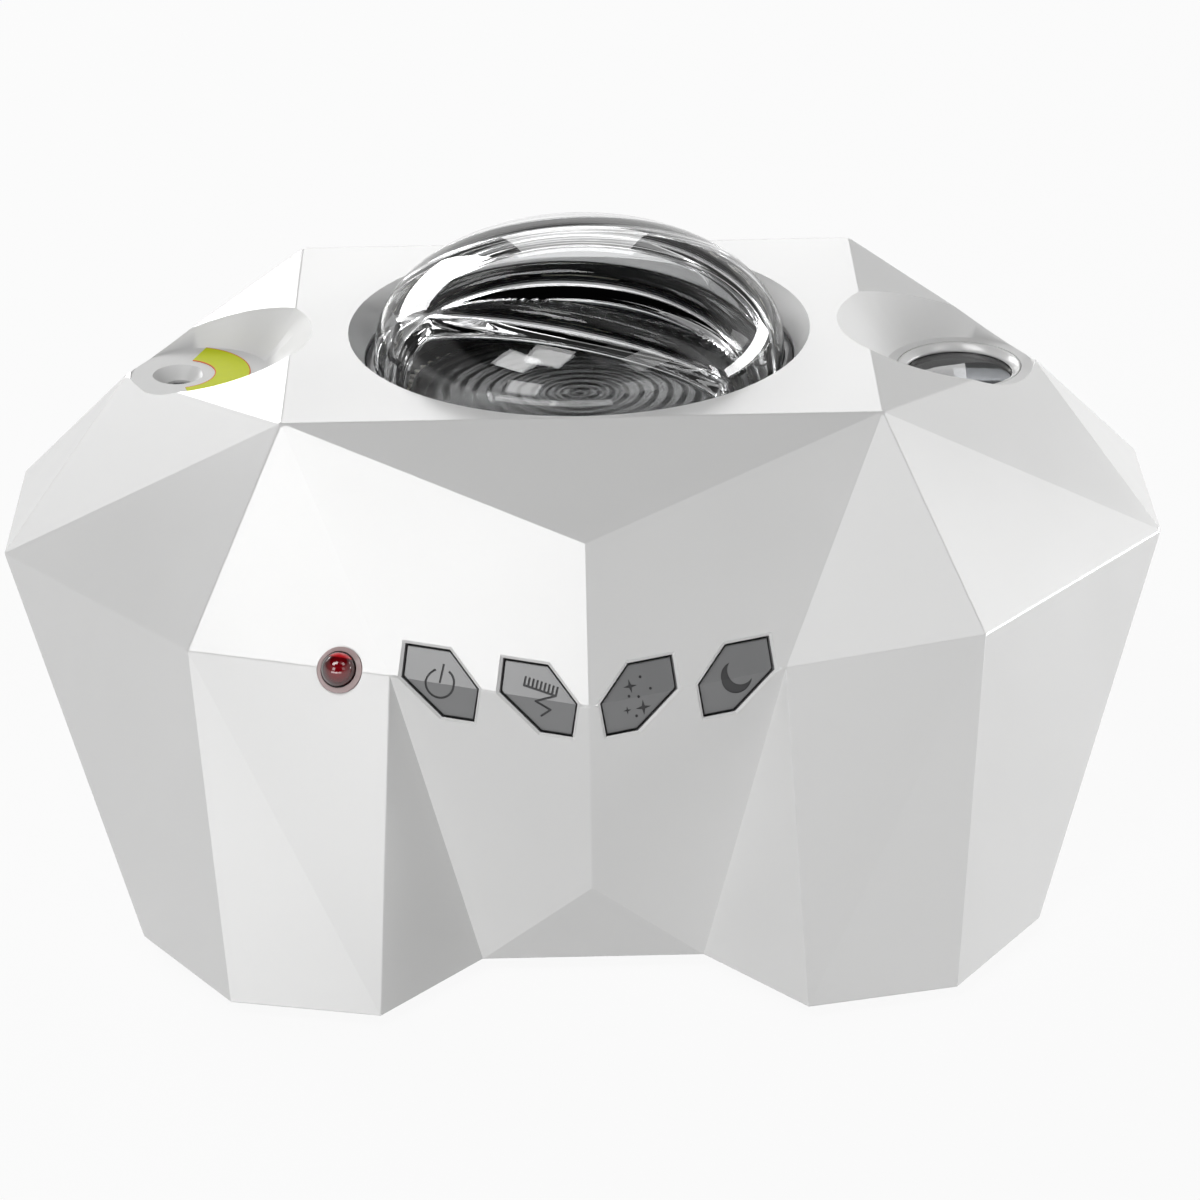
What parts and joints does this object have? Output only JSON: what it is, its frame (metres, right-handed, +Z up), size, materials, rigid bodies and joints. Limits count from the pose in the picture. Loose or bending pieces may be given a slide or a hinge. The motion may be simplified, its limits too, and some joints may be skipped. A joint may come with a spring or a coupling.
{
  "type": "star projector",
  "caption": "Faceted desktop light projector with a glossy dome, a star-laser pocket, a moon-lens pocket and a row of press keys along its front crease.",
  "frame": {"origin": "on the table, under the middle of the housing", "axes": "+Z up, +X towards the moon-lens side, -Y towards the keys at the front"},
  "size_m": [0.1732, 0.1726, 0.0839],
  "materials": {
    "white_shell": "satin moulded",
    "base_grey": "fine moulded grain",
    "foot_rubber": "matt",
    "dome_clear": "polished, smoked",
    "black_plastic": "matt",
    "dark_ring": "satin",
    "clear_lens": "polished",
    "moon_lens_glass": "polished, dark bore behind",
    "slide_glass": "printed film on glass",
    "key_grey": "satin",
    "gear_nylon": "natural nylon",
    "screw_steel": "zinc plated",
    "motor_steel": "drawn can",
    "laser_brass": "turned",
    "sink_aluminium": "extruded",
    "board_green": "solder mask",
    "white_board": "white solder mask on metal core",
    "led_amber": "phosphor in a white frame",
    "chip_black": "moulded packages",
    "ir_red": "polished, translucent red",
    "sticker_yellow": "printed film, thin orange edge"
  },
  "bodies": {
    "housing": {"upper_housing": "white_shell", "base_plate": "base_grey", "rubber_feet": "foot_rubber", "base_screws": "screw_steel", "dome_cover": "dome_clear", "dome_seal_ring": "dark_ring", "dome_clamp_ring": "black_plastic", "optics_chassis": "black_plastic", "frame_screws": "screw_steel", "aurora_motor": "motor_steel", "lamp_cup": "black_plastic", "lamp_led_board": "white_board", "lamp_leds": "led_amber", "collimator_lenses": "clear_lens", "heat_sink": "sink_aluminium", "star_window": "clear_lens", "aperture_sticker": "sticker_yellow", "star_axle": "screw_steel", "star_bracket": "black_plastic", "star_motor": "motor_steel", "laser_barrel": "laser_brass", "laser_lens": "clear_lens", "laser_driver_board": "board_green", "moon_bezel_ring": "white_shell", "moon_front_lens": "moon_lens_glass", "moon_lens_tube": "black_plastic", "moon_slide": "slide_glass", "moon_condenser": "clear_lens", "moon_retainer_ring": "black_plastic", "moon_led_board": "white_board", "moon_led": "led_amber", "key_switches": "dark_ring", "key_board_right": "board_green", "key_board_left": "board_green", "ir_lens": "ir_red", "ir_receiver": "chip_black", "main_board": "board_green", "board_components": "chip_black", "power_jack": "black_plastic", "jack_pin": "screw_steel", "jack_nut": "screw_steel", "inner_screws": "screw_steel"},
    "moon_press": {"moon_key": "key_grey", "moon_plunger": "black_plastic"},
    "stars_press": {"stars_key": "key_grey", "stars_plunger": "black_plastic"},
    "power_press": {"power_key": "key_grey", "power_plunger": "black_plastic"},
    "aurora_press": {"aurora_key": "key_grey", "aurora_plunger": "black_plastic"},
    "aurora_wheel": {"aurora_gear_ring": "gear_nylon", "wave_disc": "clear_lens"},
    "aurora_drive": {"aurora_pinion": "gear_nylon", "aurora_motor_shaft": "screw_steel"},
    "star_wheel": {"star_grating_disc": "clear_lens"},
    "star_drive": {"star_pinion": "gear_nylon", "star_motor_shaft": "screw_steel"}
  },
  "joints": [
    {"name": "moon_key_press", "type": "slide", "parent": "housing", "child": "moon_press", "axis": [-0.1756, 0.8834, -0.4344], "range_m": [0, 0.0006], "stiffness_N_per_m": 800, "springref_m": -0.0006},
    {"name": "stars_key_press", "type": "slide", "parent": "housing", "child": "stars_press", "axis": [-0.1756, 0.8834, -0.4344], "range_m": [0, 0.0006], "stiffness_N_per_m": 800, "springref_m": -0.0006},
    {"name": "power_key_press", "type": "slide", "parent": "housing", "child": "power_press", "axis": [0.1756, 0.8834, -0.4344], "range_m": [0, 0.0006], "stiffness_N_per_m": 800, "springref_m": -0.0006},
    {"name": "aurora_key_press", "type": "slide", "parent": "housing", "child": "aurora_press", "axis": [0.1756, 0.8834, -0.4344], "range_m": [0, 0.0006], "stiffness_N_per_m": 800, "springref_m": -0.0006},
    {"name": "aurora_wheel_turn", "type": "hinge", "parent": "housing", "child": "aurora_wheel", "pos_m": [0, 0, 0.0558], "axis": [0, 0, 1], "continuous": true},
    {"name": "aurora_drive_turn", "type": "hinge", "parent": "housing", "child": "aurora_drive", "pos_m": [0, 0.0328, 0.0558], "axis": [0, 0, 1], "continuous": true},
    {"name": "star_wheel_turn", "type": "hinge", "parent": "housing", "child": "star_wheel", "pos_m": [-0.0524, 0, 0.0573], "axis": [0, 0, 1], "continuous": true},
    {"name": "star_drive_turn", "type": "hinge", "parent": "housing", "child": "star_drive", "pos_m": [-0.0524, 0.014, 0.0573], "axis": [0, 0, 1], "continuous": true}
  ],
  "couplings": [
    {"joint": "aurora_drive_turn", "follows": "aurora_wheel_turn", "ratio": -5.8333},
    {"joint": "star_drive_turn", "follows": "star_wheel_turn", "ratio": -3.6667}
  ]
}
